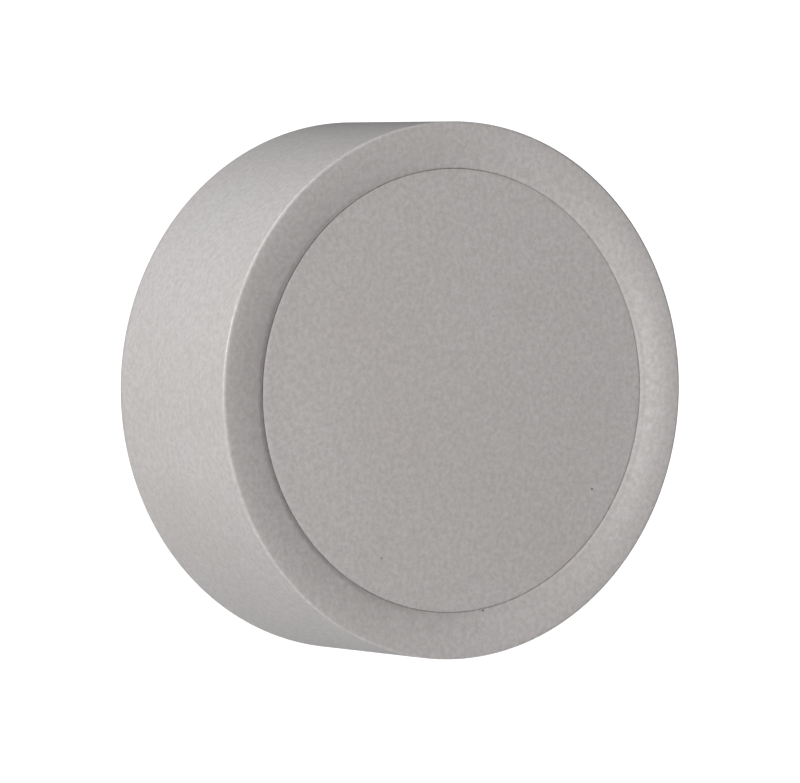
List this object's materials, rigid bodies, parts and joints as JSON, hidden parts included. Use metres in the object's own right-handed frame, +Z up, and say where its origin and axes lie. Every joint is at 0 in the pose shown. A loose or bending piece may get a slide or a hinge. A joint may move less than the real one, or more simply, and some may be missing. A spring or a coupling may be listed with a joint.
{
  "type": "concealed fire sprinkler head",
  "caption": "Sidewall fire sprinkler hidden in a deep round white wall escutcheon: a soldered cover plate drops off, a sprung deflector slides out and fusible-link levers free the valve.",
  "frame": {"origin": "centre of the inlet thread where it meets the hexagon's rear face, which seats against the pipe fitting", "axes": "+Y back along the inlet into the wall, so the cover plate faces -Y; +Z up, on the side of the deflector's hood; +X to the right seen from the room"},
  "size_m": [0.0864, 0.0775, 0.0864],
  "materials": {
    "white_coating": "smooth matt white powder coat with a fine orange-peel texture",
    "brass": "turned and stamped brass, plain",
    "bronze": "stamped phosphor bronze, plain",
    "zinc_steel": "bright zinc-plated pressed steel",
    "spring_steel": "drawn stainless spring steel",
    "steel": "turned stainless steel",
    "solder": "dull low-melting solder",
    "ptfe": "fluoropolymer film"
  },
  "bodies": {
    "inlet_body": {"sprinkler_body": "brass", "support_cup": "zinc_steel", "cup_nut": "brass", "guide_pin_housing": "brass", "housing_clip": "spring_steel", "deflector_spring_upper": "spring_steel", "deflector_spring_lower": "spring_steel"},
    "valve": {"valve_cap": "brass", "belleville_seal": "spring_steel", "seal_film": "ptfe", "load_screw": "steel"},
    "left_lever": {"lever_left": "bronze"},
    "right_lever": {"lever_right": "bronze"},
    "inner_link": {"link_plate_inner": "bronze", "link_solder": "solder"},
    "outer_link": {"link_plate_outer": "bronze"},
    "deflector_carriage": {"deflector": "bronze", "guide_pin_upper": "steel", "guide_pin_lower": "steel"},
    "escutcheon": {"escutcheon_shell": "white_coating", "cover_retainer": "brass", "retainer_tube": "brass", "retainer_screws": "steel", "spring_clips": "brass"},
    "cover": {"cover_plate": "white_coating", "cover_solder": "solder"},
    "ejector_1": {"ejector_spring_1": "spring_steel"},
    "ejector_2": {"ejector_spring_2": "spring_steel"},
    "ejector_3": {"ejector_spring_3": "spring_steel"}
  },
  "joints": [
    {"name": "escutcheon_adjust", "type": "slide", "parent": "inlet_body", "child": "escutcheon", "axis": [0, -1, 0], "range_m": [0, 0.006]},
    {"name": "cover_plate_release", "type": "slide", "parent": "escutcheon", "child": "cover", "axis": [0, -1, 0], "range_m": [0, 0.044]},
    {"name": "deflector_extend", "type": "slide", "parent": "inlet_body", "child": "deflector_carriage", "axis": [0, -1, 0], "range_m": [0, 0.016], "deforming": ["deflector_spring_upper", "deflector_spring_lower"]},
    {"name": "lever_left_swing", "type": "hinge", "parent": "inlet_body", "child": "left_lever", "pos_m": [-0.0092, -0.0265, 0], "axis": [0, 0, -1], "range_deg": [0, 70]},
    {"name": "lever_right_swing", "type": "hinge", "parent": "inlet_body", "child": "right_lever", "pos_m": [0.0092, -0.0265, 0], "axis": [0, 0, 1], "range_deg": [0, 70]},
    {"name": "link_inner_turn", "type": "hinge", "parent": "left_lever", "child": "inner_link", "pos_m": [-0.0078, -0.042, 0], "axis": [0, 0, 1], "range_deg": [0, 70]},
    {"name": "link_outer_turn", "type": "hinge", "parent": "right_lever", "child": "outer_link", "pos_m": [0.0078, -0.042, 0], "axis": [0, 0, -1], "range_deg": [0, 70]},
    {"name": "valve_release", "type": "slide", "parent": "inlet_body", "child": "valve", "axis": [0, -1, 0], "range_m": [0, 0.0046]},
    {"name": "ejector_1_rise", "type": "hinge", "parent": "escutcheon", "child": "ejector_1", "pos_m": [0.0241, -0.05878, 0.02026], "axis": [-0.866, 0, -0.5], "range_deg": [0, 20]},
    {"name": "ejector_2_rise", "type": "hinge", "parent": "escutcheon", "child": "ejector_2", "pos_m": [-0.0296, -0.05878, 0.01074], "axis": [0.866, 0, -0.5], "range_deg": [0, 20]},
    {"name": "ejector_3_rise", "type": "hinge", "parent": "escutcheon", "child": "ejector_3", "pos_m": [0.0055, -0.05878, -0.031], "axis": [0, 0, 1], "range_deg": [0, 20]}
  ],
  "couplings": [
    {"joint": "deflector_extend", "follows": "cover_plate_release", "ratio": 0.3636},
    {"joint": "lever_right_swing", "follows": "lever_left_swing", "ratio": 1},
    {"joint": "link_inner_turn", "follows": "lever_left_swing", "ratio": 1},
    {"joint": "link_outer_turn", "follows": "lever_left_swing", "ratio": 1},
    {"joint": "valve_release", "follows": "lever_left_swing", "m_per_rad": 0.00376},
    {"joint": "ejector_1_rise", "follows": "cover_plate_release", "rad_per_m": 7.93},
    {"joint": "ejector_2_rise", "follows": "cover_plate_release", "rad_per_m": 7.93},
    {"joint": "ejector_3_rise", "follows": "cover_plate_release", "rad_per_m": 7.93}
  ]
}
